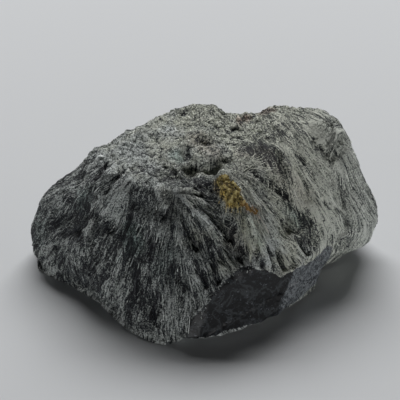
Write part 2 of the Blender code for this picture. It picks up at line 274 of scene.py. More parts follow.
PLUME_MARKS = [
    ((18.7, -5.9, 42.9), (26.2, -6.5, 35.2), 0.9, -0.8, -0.36),  # sunk dark lines with painted shade
    ((26.2, -7.1, 33.4), (32.6, -8.2, 27.3), 1, -0.9, -0.36),
    ((15.6, -6.4, 44.7), (18.1, -6.8, 42.1), 0.6, -0.8, -0.4),
    ((14.1, -3.6, 45.8), (15.9, -7, 44.4), 0.6, -0.7, -0.4),
    ((21.5, -6.3, 39.5), (25.6, -6.5, 35.9), 0.7, -0.7, -0.3),
    ((17.6, 3, 47.3), (24.3, -1.4, 44.3), 0.9, -0.5, -0.26),
    ((20.1, 4.4, 48.2), (23.1, 0.1, 46.2), 0.9, -0.4, -0.24),
    ((12.9, -4.5, 45.6), (19.3, -6.3, 41), 0.7, -0.6, -0.26),
    ((28.1, -0.1, 42.7), (32, -1.9, 35.7), 0.7, -0.5, -0.24),
    ((30.1, 3.6, 43.9), (31, 3, 42.5), 0.8, -0.8, -0.4),
    ((33.2, 1.4, 39.1), (37.7, -2.5, 30.5), 0.8, -0.5, -0.22),
    ((33.8, 10.5, 46.5), (38.6, 8.9, 40.8), 0.7, -0.5, -0.34),  # groove at the right top, with painted shade
    ((36.6, 9.4, 44.2), (39.9, 8.5, 39.9), 0.6, -0.4, -0.24),
    ((28.3, 8.2, 49), (30.8, 6.3, 46.6), 0.9, -0.3, -0.22),
    ((24.9, -0.8, 44.6), (29.1, -2.4, 37.6), 1.3, 0.6, 0.26),  # pale streaks
    ((30.7, 1.1, 41.2), (36.4, -3.1, 30.9), 1.1, 0.4, 0.18),
    ((35.2, 4.5, 40.8), (40.4, -0.9, 29.4), 1.1, 0.4, 0.16),
    ((32.6, -4.5, 31.5), (37.7, -4.9, 26.5), 1.4, 0.4, 0.18),
    ((41.1, 9.7, 42.1), (43.8, 6.7, 33.6), 1.4, 0.4, 0.2),
    ((39, -5.3, 24.8), (46.1, -1, 15.9), 1.3, 0.3, 0.14),
    ((45.2, 5.7, 30.5), (46.6, -1.4, 18.1), 1, 0.3, 0.14),
    ((42.4, 6.2, 35.8), (44.4, -1.6, 22.2), 0.8, -0.5, -0.2),
    ((45.5, 10.5, 36.8), (47.5, 1.4, 16.5), 0.8, -0.7, -0.26),  # crease before the right end: painted shade
]
print("marks of the right fan and the plume:", len(RIGHT_FAN_MARKS), len(PLUME_MARKS))

# %% Marks of the left side
LEFT_MARKS = [
    # painted shade darkens the crease right of the pale plate
    ((-21.3, -11.1, 41.7), (-23.1, -11.2, 32.1), 1.4, -0.9, -0.36),  # crease right of the pale plate
    ((-22.3, -8.4, 43.9), (-25.4, -9.5, 40.2), 1.2, 0.4, 0.2),
    ((-25.4, -9.5, 40.2), (-29.7, -8.7, 29.6), 1, 0.4, 0.2),
    ((-21.7, -7.6, 44.1), (-17.8, -6.6, 43.7), 1.5, 0.2, 0.16),  # lip over it
    ((-17.8, -6.6, 43.7), (-14.1, -9, 42.8), 1.5, 0.2, 0.14),
    ((-16.5, -10.8, 42.3), (-16.5, -11.4, 39.3), 1.3, -0.5, -0.26),
    ((-12, -14.7, 35.8), (-9.9, -17.3, 33.1), 1.3, -0.4, -0.22),
    ((-33.6, 9, 39.6), (-39.6, 3.4, 32.1), 0.9, 0.6, 0.2),  # pale ribs and blotches
    ((-28.6, 2.1, 41.2), (-33.1, -4.5, 35.7), 0.9, 0.6, 0.2),
    ((-23.4, -2.9, 43.1), (-28.2, -7.2, 39.4), 0.9, 0.6, 0.22),
    ((-27.2, 7.5, 42.9), (-29.4, -0.9, 41), 0.9, 0.4, 0.16),
    ((-31.3, 12.5, 41.1), (-36.4, 6.5, 37.5), 0.9, 0.5, 0.18),
    ((-41.5, 9.1, 32), (-42.5, 3.6, 29.6), 0.8, 0.4, 0.22),
    ((-35.2, -5.9, 27.2), (-37.8, -9.9, 18.6), 0.7, 0.5, 0.3),
    ((-30.5, -6.8, 36.2), (-35.7, -9, 24.1), 1.1, 0.5, 0.18),
    ((-44.6, -2.5, 17.7), (-42.9, -5.2, 16.6), 1.3, 0.2, 0.24),
    ((-35.1, -9, 24.1), (-34.2, -9.4, 22.1), 1, 0.3, 0.34),
    ((-45.5, 5.2, 28.9), (-49.8, 3.9, 18.2), 1.1, 0.3, 0.16),
    ((-50.8, 4.6, 17.7), (-52, 1.6, 10), 1.3, 0.3, 0.16),
    ((-53.8, 2.7, 7.5), (-47.7, -4.1, 4.6), 2, 0.2, 0.26),
    ((-29.5, -18.6, 12.7), (-27.1, -20.8, 8.2), 2, 0.4, 0.28),
    ((-15, -11.8, 42.6), (-12, -13.2, 37.6), 1, 0.4, 0.26),
    ((-18.1, -13.5, 33.4), (-19.4, -14.5, 29.7), 0.8, 0.4, 0.3),
    ((-13.5, -13, 37.5), (-14.1, -17.8, 31.3), 0.7, 0.4, 0.22),
    ((-26, -14.9, 22.3), (-27.2, -18.4, 15.4), 1.1, 0.4, 0.2),
    ((-19.7, -19.8, 21.4), (-17.9, -25.1, 10.9), 0.8, 0.4, 0.22),
    ((-11.1, -27.7, 14.9), (-8.1, -32.9, 7.4), 1.2, 0.4, 0.2),
    # painted shade darkens these hollows and gaps
    ((-42.6, 2.6, 26.5), (-34.5, -5.2, 29.3), 2.2, -0.3, -0.24),  # dark hollows and gaps
    ((-41.2, -2.8, 21.1), (-37.7, -8.8, 22.4), 1.6, -0.5, -0.26),
    ((-46.8, 3.1, 19.9), (-44.3, -1.5, 18.6), 1.4, -0.4, -0.24),
    ((-29.5, -8.9, 27.1), (-25.6, -13.2, 26.4), 1.4, -0.4, -0.16),
    ((-31, 5, 41), (-35.5, -0.5, 34.5), 0.9, -0.8, -0.24),
    ((-26, -0.5, 43), (-30.5, -6, 37), 0.8, -0.7, -0.22),
    ((-21.6, -18.9, 20), (-20.4, -23.1, 13.2), 1.5, -0.5, -0.26),
    ((-15.8, -25.7, 9.8), (-14.5, -29.3, 5.6), 1.1, -0.7, -0.26),
    ((-19.8, -11, 42), (-14.7, -12.8, 40.7), 1.5, -0.4, -0.24),
    ((-32.3, -10.1, 22.6), (-33.7, -12.8, 16.1), 0.9, -0.6, -0.22),
    ((-24, -14.2, 26.4), (-22.8, -17.9, 20), 1, -0.6, -0.24),
    ((-16.6, -17.5, 28.1), (-15.4, -22.1, 20.9), 1, -0.6, -0.24),
    ((-36.3, -11.3, 15), (-33.7, -15.8, 12.1), 1.1, -0.5, -0.22),
    ((-26.7, -21.1, 7.6), (-23.5, -25.7, 5.5), 1.1, -0.4, -0.2),
    ((-41.4, -7.9, 17.1), (-39.7, -10, 10.1), 0.8, -0.6, -0.24),
]
print("marks of the left side:", len(LEFT_MARKS))

# %% Marks of the top
TOP_MARKS = [
    ((-5.4, 5.3, 45.8), (-3.5, -0.6, 43), 0.6, -0.5, -0.44),  # the crack, with painted shade
    ((-3.5, -0.6, 43), (1.1, -1, 43.3), 0.5, -0.2, -0.5),
    ((1.1, -1, 43.5), (6, 0.8, 45.1), 0.5, -0.2, -0.36),
    ((-3.6, 3.6, 46), (-1.4, 0.6, 44.9), 0.9, 0.7, 0.2),  # the lumps over it
    ((1, 1.6, 45.5), (4.8, 4.6, 46.9), 1.9, 0.3, 0.02),
    ((4.8, 4.6, 46.9), (9, 3.6, 46.4), 1.8, 0.3, 0.02),
    ((-4, -3, 44), (5.3, -3.4, 45), 1.6, 0.45, 0.14),  # the pale lip under it
    ((-12.1, -1.9, 44.6), (-9, -4.4, 44.1), 0.9, -0.7, -0.3),  # pits, with painted shade
    ((-16.9, 10.2, 48.1), (-15, 8.1, 47.7), 0.8, -0.5, -0.24),
    ((11.2, 18.4, 48.1), (13.7, 19.8, 48.7), 0.8, -0.3, -0.4),
    ((18.2, 21, 49.8), (21.3, 20.8, 50.7), 0.8, -0.3, -0.34),
    ((-2.6, 8.3, 47.5), (-0.2, 8.9, 47.9), 0.9, -0.2, -0.4),
    ((7.4, 13.7, 47.3), (9.9, 15.4, 47), 0.9, -0.7, -0.4),
    ((8.6, 10.7, 46.7), (11.1, 11.7, 46.4), 0.7, -0.5, -0.34),
    ((1.7, 15.2, 49.7), (3.6, 14.2, 48.9), 0.7, -0.4, -0.24),
    ((-6.8, 19.8, 50.2), (-5.5, 20.9, 50.6), 0.8, -0.5, -0.34),
    ((24, 9.7, 49.2), (25.3, 10.6, 49.7), 1, -0.2, -0.4),
]
MARKS = CENTRE_FAN_MARKS + FAN_GAP_MARKS + RIGHT_FAN_MARKS + PLUME_MARKS + LEFT_MARKS + TOP_MARKS
print("marks of the top:", len(TOP_MARKS), "marks in all:", len(MARKS))

# %% Stains of ochre, rust and teal
# (start, end, reach in mm, strength)
OCHRE = [
    ((4.8, -9, 42.8), (9.6, -13.9, 40.6), 3.2, 1), ((5.8, -12, 41.6), (7.4, -14.2, 39.6), 2.4, 0.7),
    ((9.4, -15.8, 37.3), (14, -21.4, 28.3), 3.4, 0.14)]
RUST = [
    ((15.2, -13.7, 36.5), (13.6, -14.8, 37.6), 2.2, 0.7), ((20, -1.1, 45.6), (30.4, -3.2, 34.4), 5, 0.16),
    ((-2.6, 8.5, 47.7), (2.9, 2.9, 46), 4, 0.3), ((8.1, -16.6, 29), (10.6, -19.6, 26), 3.5, 0.2),
    ((11.2, 18.4, 48.1), (13.7, 19.8, 48.7), 1.8, 0.8), ((18.2, 21, 49.8), (21.3, 20.8, 50.7), 1.8, 0.8),
    ((12, 3, 46.8), (18, 2, 47), 4, 0.25)]
TEAL = [
    ((-22.2, -13.7, 28.3), (-21.4, -15.1, 25), 5, 0.7), ((29.4, -7.9, 28.6), (26.1, -8.1, 31.5), 3, 0.45),
    ((-53.2, 6.4, 17.5), (-52.4, 5.4, 14), 5, 0.3), ((-8.1, 1.2, 45.9), (-8.9, 2.4, 46), 3, 0.6),
    ((-35.9, -0.6, 33), (-38.4, 0.4, 31), 4, 0.5), ((-12.4, -21.6, 21), (-10.4, -19.6, 25), 5, 0.35),
    ((11.2, -16.2, 37.5), (15, -20.5, 29.6), 4.5, 0.35)]
print("stains:", len(OCHRE), len(RUST), len(TEAL))

# %% What the zones and marks do to a place
MARK_WOBBLE = 0.5  # mm that the line of a mark strays from straight
MARK_FADE = 1.25  # a mark has faded out at this many half widths


def zone_sum(places, zones):
    """The zones' strengths added up: full on each line, nothing past its reach."""
    total = np.zeros(len(places))
    for start, end, reach, strength in zones:
        near = np.clip(1.0 - (away_from(places, start, end) / reach) ** 2, 0.0, None)
        total += strength * near
    return total


def mark_sums(places):
    """How far the single ribs and gaps raise each place, and how much lighter they make it."""
    stray = np.stack([noise_at(places, 2.2, seed) for seed in (41.0, 43.0, 45.0)], axis=1)
    wobble = places + MARK_WOBBLE * stray
    rise, light = np.zeros(len(places)), np.zeros(len(places))
    for start, end, half_width, height, change in MARKS:
        near = np.clip(1.0 - (away_from(wobble, start, end) / (MARK_FADE * half_width)) ** 2, 0.0, None)
        rise += height * near
        # a sunk gap's darkening here is painted shade
        light += change * np.sqrt(near)
    return rise, light


head_of_fan = np.array([FANS["centre"][0]])
print("zones and marks at the head of the centre fan:", zone_sum(head_of_fan, TONE_AND_PAINTED_SHADING_ZONES), mark_sums(head_of_fan))

# %% [markdown]
# ## The skin
#
# A sculptor would carve the detail by hand on a dense mesh. Here the dense mesh is a box of fine cells that
# is shrunk onto the solid with rays from its heart, as cloth is drawn over a form. The solid's facets are
# then smoothed away, except on the clean breaks and the rest face, which are to stay flat.

# %% Shrink a fine box onto the solid
SKIN_CELL = 0.562  # mm, the width of a cell of the box
HEART = np.array([-0.25, -4.81, 24.0])  # mm: nearly all of the surface can be seen from here
# facing (compass, tilt), and distance from the heart in mm
LEFT_BREAK, RIGHT_BREAK = (heading(293, 5), 24.3), (heading(321, -6), 31.2)
BREAKS_STOP = heading(93, 0)  # places on this side of the heart are on no clean break
# the upper edge of the clean breaks, as X and Z in mm
CLEAN_TOP = np.array([
    (-6, 7), (-1.4, 12.2), (1.6, 15.1), (5.5, 19.8), (10.7, 23.1), (14.9, 22.9), (19.8, 20.4), (23.6, 17),
    (26.1, 18.4), (30, 17), (34.1, 15.3), (38.7, 17.4), (42, 12)], float)

solid = bmesh.new()
solid.from_mesh(rough_stone.data)
bmesh.ops.remove_doubles(solid, verts=solid.verts, dist=1e-6)
solid_tree = BVHTree.FromBMesh(solid)
solid.free()

skin = bmesh.new()
bmesh.ops.create_cube(skin, size=1.0)
for axis in range(3):
    side = (cad_box[1][axis] - cad_box[0][axis]) / MM
    along = [e for e in skin.edges if abs((e.verts[0].co - e.verts[1].co)[axis]) > 1e-4]
    bmesh.ops.subdivide_edges(skin, edges=along, cuts=round(side / SKIN_CELL) - 1)
bmesh.ops.scale(skin, vec=Vector(cad_box[1]) - Vector(cad_box[0]), verts=skin.verts)
heart = Vector(HEART) * MM
for vert in skin.verts:
    vert.co = solid_tree.ray_cast(heart, vert.co.normalized())[0]
bmesh.ops.recalc_face_normals(skin, faces=skin.faces)
print("skin:", len(skin.verts), "corners,", len(skin.faces), "cells")


# %% Keep the clean breaks, smooth the rest
RESTING = 0.05  # a corner lower than this, in mm, lies on the rest face
FAR_INSIDE = -9.0  # mm, said of every place that is on the far side of the heart
ABOVE_TABLE = 0.2  # mm: the clean breaks start this high
RAGGED = 0.7  # mm that the upper edge of the clean breaks wanders up and down
CUT_DEPTH, FRACTURE_DEPTH = 0.2, 1.3  # mm inside the breaks: what stays flat, and what is cleanly broken
STEP_IN, STEP_OUT, SMOOTH_ROUNDS = 0.5, -0.52, 9  # each step out undoes the shrinking of the step in


def skin_places():
    return np.array([v.co for v in skin.verts]) / MM


def put_skin(places):
    for vert, place in zip(skin.verts, places * MM):
        vert.co = place
    skin.normal_update()


def beyond_clean_breaks(places):
    """How far each place stands outside the clean breaks, in mm; below zero is inside the stone."""
    out = places - HEART
    beyond = np.max([out @ facing - distance for facing, distance in (LEFT_BREAK, RIGHT_BREAK)], axis=0)
    return np.where(out @ BREAKS_STOP < 0.0, beyond, FAR_INSIDE)


def on_clean_breaks(places, depth):
    """True where a place is on the clean breaks, below their ragged upper edge."""
    top = np.interp(places[:, 0], *CLEAN_TOP.T) + RAGGED * noise_at(places, 2.5, 55.0)
    return (beyond_clean_breaks(places) > -depth) & (places[:, 2] < top)


places = skin_places()
above = places[:, 2] > ABOVE_TABLE
flat = (np.abs(beyond_clean_breaks(places)) < CUT_DEPTH) & above
clean = on_clean_breaks(places, FRACTURE_DEPTH) & above
soft = [v for v, kept, z in zip(skin.verts, flat, places[:, 2]) if not kept and z > RESTING]
for factor in (STEP_IN, STEP_OUT) * SMOOTH_ROUNDS:
    bmesh.ops.smooth_vert(skin, verts=soft, factor=factor, use_axis_x=True, use_axis_y=True, use_axis_z=True)
print("corners smoothed:", len(soft), "kept flat:", int(flat.sum()))

# %% [markdown]
# ## The foot
#
# Rays from the heart meet the underside at a slant, so its cells are long and ragged. They are sawn off, the
# foot is drawn out to where the stone meets the table, and a fan of triangles closes the underside again.

# %% Saw the underside off
SAWN = 0.8  # mm: everything below this height goes flat, and its cells are taken away
places = skin_places()
places[:, 2] = np.where(places[:, 2] < SAWN, 0.0, places[:, 2])
put_skin(places)
uncut = list(skin.verts)
bmesh.ops.delete(skin, geom=[f for f in skin.faces if all(v.co.z < 1e-6 for v in f.verts)], context="FACES")
clean = clean[[v.is_valid for v in uncut]]
print("corners above the saw:", len(skin.verts))

# %% Draw the foot out to its line
# the line in plan that the left foot reaches out to, in mm
FOOT = np.array([
    (-51.6, 19), (-54.6, 12), (-54.1, 4.6), (-51.2, 1.8), (-48.2, -0.7), (-43.4, -3.9), (-38, -8.5),
    (-33.7, -12.5), (-30.3, -17.5), (-26.9, -22.5), (-23.7, -26.3), (-19.8, -29.7), (-15.8, -32.5),
    (-11.8, -33.5), (-7.5, -31.6)], float)
FOOT_HEIGHT, FOOT_SLOPE = 4.0, 0.45  # mm of wall that is drawn out, and mm less of it for each mm up
OUTWARD, FREE_OUTWARD, FREE_FROM = 0.25, 1.8, 5.0  # mm out for each mm up; the extra above this height in mm
LEAN, LEAN_HEIGHT = 1.43, 12.0  # mm forwards for each mm up: a wall that leans more would hide the foot line
NO_LIMIT = 99.0  # mm
# small pushes that true up the outline: (middle, reach, push), in mm
PUSHES = [((53.5, 14, 25), 8, (-1.3, 0, 0)), ((52, 3.5, 12.5), 6, (1, -0.3, -0.3)),
          ((-54, 4, 8), 7, (-0.8, -0.3, 0)), ((-18.5, 25, 47), 9, (0, 0, 0.9)),
          ((53.2, 5, 19.5), 4, (1.2, 0.2, 0))]


def turn_and_reach(plan):
    """Compass angle in radians, 0 to 2 pi, and distance from the heart, in plan."""
    out = plan[:, :2] - HEART[:2]
    return np.mod(np.arctan2(out[:, 1], out[:, 0]), 2 * math.pi), np.linalg.norm(out, axis=1)


def foot_at(turn, skipped, elsewhere):
    """How far from the heart the foot line is at each turn, leaving out its first few points."""
    foot_turn, foot_reach = turn_and_reach(FOOT[skipped:])
    return np.interp(turn, foot_turn, foot_reach, left=elsewhere, right=elsewhere)


places = skin_places()
turn, reach = turn_and_reach(places)
wanted = foot_at(turn, 0, 0.0) - FOOT_SLOPE * places[:, 2]
stretch = np.where(places[:, 2] < FOOT_HEIGHT, np.maximum(wanted / reach, 1.0), 1.0)
places[:, :2] = HEART[:2] + (places[:, :2] - HEART[:2]) * stretch[:, None]
# past its first two points the line also holds the wall in
turn, reach = turn_and_reach(places)
most = foot_at(turn, 2, NO_LIMIT) + OUTWARD * places[:, 2]
most += FREE_OUTWARD * np.maximum(places[:, 2] - FREE_FROM, 0.0)
places[:, :2] = HEART[:2] + (places[:, :2] - HEART[:2]) * np.minimum(most / reach, 1.0)[:, None]
on_floor = places[:, :2] + np.stack([0.0 * places[:, 2], LEAN * places[:, 2]], axis=1)
turn, reach = turn_and_reach(on_floor)
over = np.where(places[:, 2] < LEAN_HEIGHT, reach - foot_at(turn, 2, NO_LIMIT), 0.0)
places[:, :2] -= (on_floor - HEART[:2]) * (np.maximum(over, 0.0) / reach)[:, None]
for middle, reach, push in PUSHES:
    near = np.clip(1.0 - (np.linalg.norm(places - middle, axis=1) / reach) ** 2, 0.0, None) ** 2
    places += near[:, None] * np.array(push) * (places[:, 2:] > RESTING)
put_skin(places)
print("farthest that the foot is drawn out:", round(stretch.max(), 2), "times")

# %% Close the underside with a fan of triangles round one new corner
rim = [e for e in skin.edges if e.is_boundary]
bmesh.ops.poke(skin, faces=bmesh.ops.holes_fill(skin, edges=rim, sides=0)["faces"])
clean = np.append(clean, np.zeros(len(skin.verts) - len(clean), bool))
resting = skin_places()[:, 2] < RESTING
print("on the clean breaks:", int(clean.sum()), "resting:", int(resting.sum()), "edges left open:",
      sum(not e.is_manifold for e in skin.edges))

# %% [markdown]
# ## Splitting the skin
#
# Broken fibres leave ribs that are long one way and narrow the other, so the cells of noise that raise them
# are stretched along the fibre, and sunk gaps, darkened with painted shade, run between the cells. Each cell
# also gets its own painted sheen. The crumbled top has no direction: there round lumps of three sizes are
# added up. The clean break only undulates.

# %% Sheaves of fibre
# the sheaves, and the finer ones inside them: width, length, step up or down and gap in mm, and tone
# the tone is painted sheen for each sheaf and painted shade in its gaps
SHEAVES = ((3.6, 16.0, 0.8, 0.45, 0.14), (1.3, 8.0, 0.6, 0.35, 0.3))
MIXER = np.array([[12.9898, 39.346, 73.156], [78.233, 11.135, 52.235], [37.719, 83.155, 9.151]])


def sheaves(run, width, length, seed):
    """The sheaf each place is in: its three random numbers, how far in the place is, and where in mm."""
    spots = run / (width, length, 1.0) + (0.0, 0.0, seed)
    spots[:, 0] += 0.35 * noise_at(run, 1.8 * width, seed + 2.0)
    near = [noise.voronoi(Vector(s)) for s in spots]
    inside = np.array([d[1] - d[0] for d, _ in near])
    middle = np.array([p[0] for _, p in near])
    chance = np.mod(np.sin(middle @ MIXER) * 43758.5453, 1.0) - 0.5  # the same for one sheaf, -0.5 to 0.5
    return chance, inside, (spots - middle)[:, :2] * (width, length)


def comb(run):
    """Sheaves within sheaves: the fibre coordinates, leant a little in each, their relief in mm and tone."""
    relief, tone = np.zeros(len(run)), np.zeros(len(run))
    run = run.copy()
    for width, length, step, gap, shade in SHEAVES:
        chance, inside, offset = sheaves(run, width, length, 3.0 * width)
        run[:, 0] += 0.28 * chance[:, 0] * offset[:, 1] + 0.5 * chance[:, 1]
        edge = np.exp(-inside / 0.1)
        relief += step * (chance[:, 2] + 0.6 * offset[:, 1] / length) - gap * edge
        # each sheaf's tone is its painted sheen, and the dark at its edge is painted shade in the gap
        tone += 0.55 * shade * (chance[:, 1] + 0.7 * chance[:, 2]) - 0.5 * shade * edge
    return run, relief, tone


# %% Raise the ribs and grains
# plan view of the ridge between the fibrous front and the crumbled top, in mm
RIDGE = np.array([
    (-48.4, 21.4), (-36.4, 11.4), (-29.4, 3.4), (-22.4, -7.6), (-14.4, -10.6), (-8.4, -12.6), (0.6, -8.6),
    (6, -8), (9.5, -4), (12, 3), (16, 8.5), (22, 12), (28, 16), (34, 24)], float)
SUNK, GRAINS_SUNK = 0.25, 0.2  # mm that the ribs and the grains are set lower, to keep the stone's size
RIDGE_WIDTH = 3.0  # mm over which fibrous turns to crumbled
FOOT_FADE = 1.2  # mm above the table over which the relief begins


def fade(value, start, width):
    """0 up to start, and 1 from one width past it."""
    return np.clip((value - start) / width, 0.0, 1.0)


def lumpy(places, *layers):
    """Layers of noise added up. Each layer is its height in mm, the width of its lumps in mm and its seed."""
    return sum(height * noise_at(places, width, seed) for height, width, seed in layers)


places = skin_places()
normals = np.array([v.normal for v in skin.verts])
fan, run, way, lightness, fan_relief = fibre_run(places)
behind_ridge = places[:, 1] - np.interp(places[:, 0], *RIDGE.T)
# 1 on the crumbled top, which lies behind the ridge, faces up and is high; 0 elsewhere
crumbled = np.clip(behind_ridge / RIDGE_WIDTH + 0.5 + 1.1 * noise_at(places, 4.0, 5.0), 0.0, 1.0)
crumbled *= fade(normals[:, 2], 0.5, 0.15) * fade(places[:, 2], 30.0, 5.0)

run, ribs, painted_sheaf_sheen_and_shade = comb(run)
grains = lumpy(places, (0.5, 5.0, 21.0), (0.3, 2.2, 23.0), (0.6, 1.2, 25.0)) - GRAINS_SUNK
waves = lumpy(places, (0.22, 6.0, 31.0), (0.06, 1.6, 33.0))
mark_rise, mark_tone_and_painted_shade = mark_sums(places)
rise = (1.0 - crumbled) * (ribs - SUNK) * fan_relief + crumbled * grains + mark_rise
rise = np.where(clean, waves, rise) * fade(places[:, 2], 0.0, FOOT_FADE)
rise[resting] = 0.0
places = places + normals * rise[:, None]
print("rise from", round(rise.min(), 2), "to", round(rise.max(), 2), "mm")

# %% Hold the skin back at the clean breaks
CLEAN_PROUD, RIB_PROUD = 0.12, 0.7  # mm that may stand out past the breaks, on them and beside them
PULL = 1.15  # the breaks slant to the rays from the heart, so the skin is pulled in a little farther
EDGE_DEPTH = 1.6  # mm inside the breaks that still looks cleanly broken, once the ribs are raised
RIM_HEIGHT = 3.2  # mm: below this the foot of the clean breaks has the look of broken fibre again
over = beyond_clean_breaks(places)
limit = np.where(clean, CLEAN_PROUD + lumpy(places, (0.1, 2.0, 51.0)), RIB_PROUD)
pull = np.where(over > limit, (over - limit) / np.linalg.norm(places - HEART, axis=1), 0.0)
places = HEART + (places - HEART) * (1.0 - PULL * pull)[:, None]
places[:, 2] = np.where(resting, 0.0, np.maximum(places[:, 2], 0.0))
put_skin(places)
rim = RIM_HEIGHT + lumpy(places, (0.8, 5.0, 53.0))
clean = on_clean_breaks(places, EDGE_DEPTH) & (places[:, 2] > rim)
print("pulled back:", int((pull > 0.0).sum()), "cleanly broken:", int(clean.sum()))

# %% Work out the skin's lightness and tints
RISE_PAINTED_LIGHT_AND_SHADE = 0.16  # painted light and shade: what 1 mm of rise adds to the lightness
TURN_OF_BREAK, TURN_WIDTH = 6.9, 1.5  # mm: where the left clean break turns into the paler right one
patchy = lumpy(places, (0.18, 6.0, 61.0), (0.1, 2.4, 63.0))
patchy *= (1.0 - 0.4 * crumbled) * (0.4 + 0.6 * fan_relief)
# besides the stone's own tones, the zones, sheaves, marks and rises add painted light and shade
light = lightness + zone_sum(places, TONE_AND_PAINTED_SHADING_ZONES) + patchy + (1.0 - 0.6 * crumbled) * painted_sheaf_sheen_and_shade + mark_tone_and_painted_shade
light += RISE_PAINTED_LIGHT_AND_SHADE * np.clip(rise, -1.5, 1.0)
facet = (places - HEART) @ (RIGHT_BREAK[0] - LEFT_BREAK[0])  # on the right clean break this is larger
# the right clean break is painted paler: painted light for the face that turns to the lamp at the right
light = np.where(clean, np.clip(0.3 + (facet - TURN_OF_BREAK) / TURN_WIDTH, 0.1, 0.95), light)
light = np.clip(light, 0.02, 1.0)
grainy = 1.0 + lumpy(places, (0.8, 1.4, 71.0))
tints = np.stack([zone_sum(places, tint) * grainy for tint in (OCHRE, RUST, TEAL)], axis=1)
tints = np.clip(tints, 0.0, 1.0)
print("mean lightness:", round(light.mean(), 2))


# %% Give the skin its numbers for the materials
def add_numbers(mesh, name, values):
    """Gives each corner of a mesh one number, or three, under a name that a material can read."""
    kind, field = ("FLOAT", "value") if values.ndim == 1 else ("FLOAT_VECTOR", "vector")
    layer = mesh.attributes.new(name, kind, "POINT")
    layer.data.foreach_set(field, np.ascontiguousarray(values, float).ravel())


def put_in_scene(name, data):
    """An object made of a mesh, a lamp or a camera, and linked to the scene."""
    thing = bpy.data.objects.new(name, data)
    bpy.context.scene.collection.objects.link(thing)
    return thing


bmesh.ops.triangulate(skin, faces=skin.faces)
skin_mesh = bpy.data.meshes.new("stone_skin")
skin.to_mesh(skin_mesh)
skin_normals = np.array([v.normal for v in skin.verts])
skin_corners = np.array([[v.index for v in f.verts] for f in skin.faces])
skin.free()
skin_tree = BVHTree.FromPolygons(places.tolist(), skin_corners.tolist())
add_numbers(skin_mesh, "fibre", run)
add_numbers(skin_mesh, "lightness", light)
add_numbers(skin_mesh, "tints", tints)
add_numbers(skin_mesh, "crumbled", crumbled)
add_numbers(skin_mesh, "clean_break", clean.astype(float))
skin_mesh.shade_smooth()
stone = put_in_scene("stone_skin", skin_mesh)
print("skin triangles:", len(skin_mesh.polygons), "resting corners:", int(resting.sum()))

# %% [markdown]
# ## Splinters
#
# Clinochlore splits into thin blades. Thousands of them lie along the fans, mostly buried, with their lower
# ends lifting away like roof shingles. One splinter is a three-sided bar of only eight faces, narrower at the
# end near the fan's point. The copies are laid out with arrays of numbers and joined into a few meshes,
# because thousands of separate objects would be slow to handle.

# %% One splinter, one grain and one flake
dice = np.random.default_rng(7)


def unit_shape(bm):
    """The corners and triangles of a small shape that will be copied many times."""
    bmesh.ops.triangulate(bm, faces=bm.faces)
    bmesh.ops.recalc_face_normals(bm, faces=bm.faces)
    corners = np.array([v.co for v in bm.verts])
    faces = np.array([[v.index for v in f.verts] for f in bm.faces])
    bm.free()
    return corners, faces


shape = bmesh.new()
bmesh.ops.create_cone(shape, cap_ends=True, segments=3, radius1=0.32, radius2=0.58, depth=1.0)
BAR = unit_shape(shape)
shape = bmesh.new()
bmesh.ops.create_icosphere(shape, subdivisions=1, radius=0.5)
GRAIN = unit_shape(shape)
shape = bmesh.new()
bmesh.ops.create_uvsphere(shape, u_segments=4, v_segments=2, radius=0.5)
FLAKE = unit_shape(shape)
print("faces of a bar, a grain and a flake:", len(BAR[1]), len(GRAIN[1]), len(FLAKE[1]))

# %% Scatter places over the skin
CALM_WIDTH = 4.0  # mm: near the ridge the fibres turn sharply, and a splinter would stick out
BACK_FROM = 20.0  # mm: the back of the stone, where the ridge is far off
corner_places = places[skin_corners]
first, second, third = corner_places.swapaxes(0, 1)
cell_area = 0.5 * np.linalg.norm(np.cross(second - first, third - first), axis=1)
cell_middle = corner_places.mean(axis=1)
cell_fan = fan[skin_corners[:, 0]]
cell_crumbled = crumbled[skin_corners].mean(axis=1)
cell_clean = clean[skin_corners].any(axis=1)
before_ridge = np.interp(cell_middle[:, 0], *RIDGE.T) - cell_middle[:, 1]
cell_calm = np.where(cell_middle[:, 1] < BACK_FROM, fade(before_ridge, 0.0, CALM_WIDTH), 1.0)


def unit(vectors):
    return vectors / np.linalg.norm(vectors, axis=1)[:, None]


def scatter(count, chance):
    """Random places on the skin, with the skin's normal, lightness and tints there."""
    chance = cell_area * (chance + 1e-12)  # no cell is quite without a chance
    cells = dice.choice(len(cell_area), size=count, p=chance / chance.sum())
    a, b = dice.random(count), dice.random(count)
    a, b = np.where(a + b > 1, 1 - a, a), np.where(a + b > 1, 1 - b, b)
    share = np.stack([1 - a - b, a, b], axis=1)[:, :, None]
    spots, ups, shade, stain = [(values[skin_corners[cells]] * share).sum(axis=1)
                                for values in (places, skin_normals, light[:, None], tints)]
    return spots, unit(ups), shade[:, 0], stain


print("skin area:", round(cell_area.sum() / 100), "square cm")


# %% Lay copies of a shape
def lay_copies(name, shape, middles, length_way, thick_way, sizes, shade, stain):
    """Joined copies of a shape. sizes holds each copy's length, width and thickness in mm."""
    corners, triangles = shape
    length_way = unit(length_way)
    width_way = unit(np.cross(thick_way, length_way))
    thick_way = np.cross(length_way, width_way)
    points = middles[:, None]
    for axis, way, size in ((2, length_way, 0), (0, width_way, 1), (1, thick_way, 2)):
        points = points + corners[None, :, axis, None] * (way * sizes[:, size, None])[:, None]
    per = len(corners)
    faces = (triangles[None] + per * np.arange(len(middles))[:, None, None]).reshape(-1, 3)
    mesh = bpy.data.meshes.new(name)
    mesh.from_pydata(points.reshape(-1, 3) * MM, [], faces)
    add_numbers(mesh, "lightness", np.repeat(shade, per))
    add_numbers(mesh, "tints", np.repeat(stain, per, axis=0))
    print(name, len(middles), "copies,", len(mesh.polygons), "faces")
    return put_in_scene(name, mesh)


# %% Lay the splinters, fan by fan
CLEAR_OF_BREAK, CLEAR_OF_TABLE = 0.3, 0.5  # mm
MOST_GAP = 0.18  # mm under a splinter's middle: one that bridges more is left out


